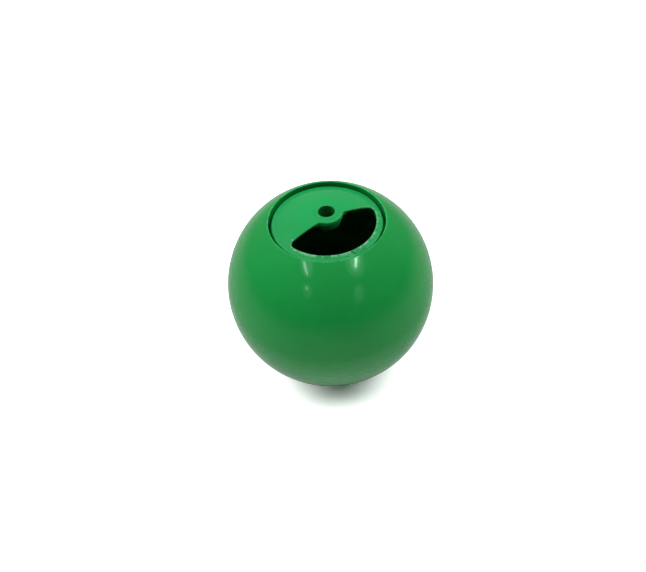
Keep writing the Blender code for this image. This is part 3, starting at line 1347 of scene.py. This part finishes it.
@dataclass
class Studio:
    """A pale floor, a pale room and soft lamps."""

    centre: Vector
    floor_size: float = 8.0
    floor_tone: Colour = (1.16, 1.16, 1.16)
    grain_share: float = 0.98
    floor_bounce: Colour = (0.76, 0.76, 0.76)
    # Floor tones painted for reflections only: brighter towards the back and near the ball, dimmer far away.
    floor_gleam: tuple[float, float] = (0.12, 0.25)
    gleam_span: tuple[float, float] = (-0.7, 0.5)
    near_gleam: float = 0.19
    near_reach: tuple[float, float] = (0.08, 0.20)
    far_share: float = 0.45
    far_reach: tuple[float, float] = (0.2, 1.3)
    back_wall: Heading = Heading(29.0, 0.0)
    front_glow: float = 0.075
    back_glow: float = 0.18
    ceiling_glow: float = 0.14
    soft_share: float = 0.35
    seen_glow: float = 1.2
    lights: tuple[SoftSky | Strip, ...] = ()

    def floor(self) -> None:
        """Lay the floor."""
        grid = bmesh.new()
        bmesh.ops.create_grid(grid, x_segments=8, y_segments=8, size=self.floor_size / 2)
        data = bpy.data.meshes.new("studio_floor")
        grid.to_mesh(data)
        grid.free()
        finish = bpy.data.materials.new("floor_paper")
        finish.use_nodes = True
        tree = finish.node_tree
        shader = tree.nodes["Principled BSDF"]
        shader.inputs["Roughness"].default_value = 0.9
        shader.inputs["Specular IOR Level"].default_value = 0.1
        grain = place_node(tree, "TexNoise", in_Scale=300.0, in_Detail=2.0)
        dim_tone = [self.grain_share * part for part in self.floor_tone]
        tone = place_node(tree, "Mix", data_type="RGBA", in_0=grain.outputs["Fac"], in_6=(*dim_tone, 1.0),
                          in_7=(*self.floor_tone, 1.0))
        place = place_node(tree, "TexCoord").outputs["Object"]
        # The camera sees an evenly white floor and bounced light takes a dimmer tone; in reflections the
        # floor takes a painted brightness, brighter towards the back wall and close to the ball, fading far
        # away.
        back = place_node(tree, "VectorMath", operation="DOT_PRODUCT", in_0=place,
                          in_1=self.back_wall.vector())
        dim, bright = self.floor_gleam
        gleam = place_node(tree, "MapRange", in_Value=back.outputs["Value"], in_1=self.gleam_span[0],
                           in_2=self.gleam_span[1], in_3=dim, in_4=bright)
        away = place_node(tree, "VectorMath", operation="LENGTH", in_0=place)
        near = place_node(tree, "MapRange", in_Value=away.outputs["Value"], in_1=self.near_reach[0],
                          in_2=self.near_reach[1], in_3=self.near_gleam, in_4=0.0)
        fade = place_node(tree, "MapRange", in_Value=away.outputs["Value"], in_1=self.far_reach[0],
                          in_2=self.far_reach[1], in_3=1.0, in_4=self.far_share)
        shine = place_node(tree, "Math", operation="MULTIPLY_ADD", in_0=gleam.outputs["Result"],
                           in_1=fade.outputs["Result"], in_2=near.outputs["Result"])
        path = place_node(tree, "LightPath")
        indirect = place_node(tree, "Mix", data_type="RGBA", in_0=path.outputs["Is Glossy Ray"],
                              in_6=(*self.floor_bounce, 1.0), in_7=shine.outputs[0])
        seen = place_node(tree, "Mix", data_type="RGBA", in_0=path.outputs["Is Camera Ray"],
                          in_6=indirect.outputs[2], in_7=tone.outputs[2])
        tree.links.new(seen.outputs[2], shader.inputs["Base Color"])
        data.materials.append(finish)
        floor = bpy.data.objects.new("studio_floor", data)
        bpy.context.scene.collection.objects.link(floor)

    def room(self) -> None:
        """Light the room: bright above and behind, dimmer in front, and plain white where it is looked at."""
        world = bpy.data.worlds.new("studio_room")
        world.use_nodes = True
        tree = world.node_tree
        tree.nodes.clear()
        place = place_node(tree, "TexCoord").outputs["Generated"]
        along = place_node(tree, "VectorMath", operation="DOT_PRODUCT", in_0=place,
                           in_1=self.back_wall.vector())
        share = place_node(tree, "MapRange", in_Value=along.outputs["Value"], in_1=-1.0, in_2=1.0)
        bent = place_node(tree, "Math", operation="POWER", in_0=share.outputs["Result"], in_1=2.0)
        back = place_node(tree, "Math", operation="MULTIPLY_ADD", in_0=bent.outputs[0], in_1=self.back_glow,
                          in_2=self.front_glow)
        height = place_node(tree, "SeparateXYZ", in_0=place)
        glow = place_node(tree, "Math", operation="MULTIPLY_ADD", in_0=height.outputs["Z"],
                          in_1=self.ceiling_glow, in_2=back.outputs[0])
        path = place_node(tree, "LightPath")
        shaded = place_node(tree, "MapRange", in_Value=path.outputs["Is Diffuse Ray"], in_3=1.0,
                            in_4=self.soft_share)
        level = place_node(tree, "Math", operation="MULTIPLY", in_0=glow.outputs[0],
                           in_1=shaded.outputs["Result"])
        room = place_node(tree, "Background", in_Color=WHITE, in_Strength=level.outputs[0])
        white = place_node(tree, "Background", in_Color=WHITE, in_Strength=self.seen_glow)
        mixed = place_node(tree, "MixShader", in_0=path.outputs["Is Camera Ray"], in_1=room.outputs[0],
                           in_2=white.outputs[0])
        place_node(tree, "OutputWorld", in_Surface=mixed.outputs[0])
        bpy.context.scene.world = world

    def build(self) -> None:
        """Set up the whole studio."""
        self.floor()
        self.room()
        for light in self.lights:
            light.build(self.centre)
        bpy.context.scene.view_settings.view_transform = "Standard"


@dataclass(frozen=True)
class ProductCamera:
    """A camera that looks down on the ball from the front left."""

    ball_radii_away: float = 10.0
    above: float = 45.7
    around: float = 29.0
    roll: float = 3.4
    ball_width_share: float = 0.3189
    shift: Point2 = (-0.0118, -0.0042)
    sensor: float = 36.0

    def build(self, centre: Vector, radius: float) -> bpy.types.Object:
        """Place the camera.

        Args:
            centre: The ball's centre.
            radius: The ball's radius.

        Returns:
            The camera, made the scene's own.
        """
        back = Heading(180.0 + self.around, self.above).vector()
        data = bpy.data.cameras.new("product_camera")
        data.sensor_width = self.sensor
        data.lens = self.sensor * self.ball_width_share / 2 * math.sqrt(self.ball_radii_away**2 - 1)
        data.shift_x, data.shift_y = self.shift
        camera = bpy.data.objects.new("product_camera", data)
        camera.location = centre + back * self.ball_radii_away * radius
        turn = back.to_track_quat("Z", "Y").to_matrix() @ Matrix.Rotation(math.radians(-self.roll), 3, "Z")
        camera.rotation_euler = turn.to_euler()
        bpy.context.scene.collection.objects.link(camera)
        bpy.context.scene.camera = camera
        return camera


BALL_GREEN = Plastic(
    name="ball_green",
    tone=(0.0034, 0.150, 0.027),
    deep_tone=(0.0030, 0.141, 0.025),
    worn_and_highlight_tone=(0.03, 0.34, 0.11),
    gloss=0.09,
    dull=0.13,
    peel=0.10,
    wear=0.5,
)
PLATE_GREEN = Plastic(
    name="plate_green",
    tone=(0.0040, 0.160, 0.039),
    deep_tone=(0.0036, 0.152, 0.037),
    # This pale worn tone is both edge wear and a painted highlight on the port lip.
    worn_and_highlight_tone=(0.25, 0.42, 0.28),
    gloss=0.24,
    dull=0.30,
    peel=0.16,
    wear=0.18,
    specular=0.36,
    cloud_scale=30.0,
)
# This dark tone also colours the sleeve in the bore, where it is painted shade.
FITTING_GREEN = Plastic(
    name="fitting_dark_green",
    tone=(0.004, 0.090, 0.016),
    deep_tone=(0.003, 0.078, 0.014),
    worn_and_highlight_tone=(0.03, 0.09, 0.045),
    gloss=0.50,
    dull=0.60,
    peel=0.2,
    wear=0.4,
    specular=0.25,
)
LIGHTS = (
    SoftSky("ceiling", Heading(0.0, 90.0), spread=56.0, strength=0.77),
    SoftSky("back_left_wall", Heading(-16.0, 28.0), spread=46.0, strength=0.58),
    SoftSky("back_right_wall", Heading(74.0, 26.0), spread=46.0, strength=0.66),
    SoftSky("left_wall", Heading(-53.0, 42.0), spread=38.0, strength=0.91),
    SoftSky("right_wall", Heading(111.0, 46.0), spread=38.0, strength=0.59),
    Strip("left_strip", Heading(-90.0, 60.0), Heading(-113.5, 49.6), width=0.045, glow=10.0),
    Strip("right_strip", Heading(138.0, 61.0), Heading(163.0, 51.6), width=0.065, glow=18.0),
    Strip("left_halo", Heading(-78.0, 66.0), Heading(-116.0, 48.0), width=0.30, glow=1.1),
    Strip("right_halo", Heading(135.0, 64.0), Heading(167.0, 49.0), width=0.28, glow=1.6),
    Strip("right_glow", Heading(132.0, 66.0), Heading(170.0, 44.0), width=0.52, glow=0.7),
    Strip("left_spot", Heading(-117.6, 38.6), Heading(-120.6, 35.4), width=0.07, glow=4.0),
    Strip("left_glow", Heading(-116.0, 42.0), Heading(-124.0, 28.0), width=0.26, glow=0.5),
    Strip("right_spot", Heading(172.0, 36.0), Heading(180.0, 20.0), width=0.26, glow=0.7),
)


def main() -> None:
    """Build the ball, the studio and the camera."""
    logging.basicConfig(level=logging.INFO, format="%(message)s")
    low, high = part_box("lower_shell")
    sizes = BallSizes(radius=(high.x - low.x) / 2)
    centre = Vector((0.0, 0.0, sizes.lift))
    effects = EffectLibrary()
    ProductCamera().build(centre, sizes.radius)
    BallShells(sizes).build(BALL_GREEN.material(effects))
    PlateAssembly(sizes).build(PLATE_GREEN.material(effects), FITTING_GREEN.material(effects))
    Studio(centre, lights=LIGHTS).build()


if __name__ == "__main__":
    main()
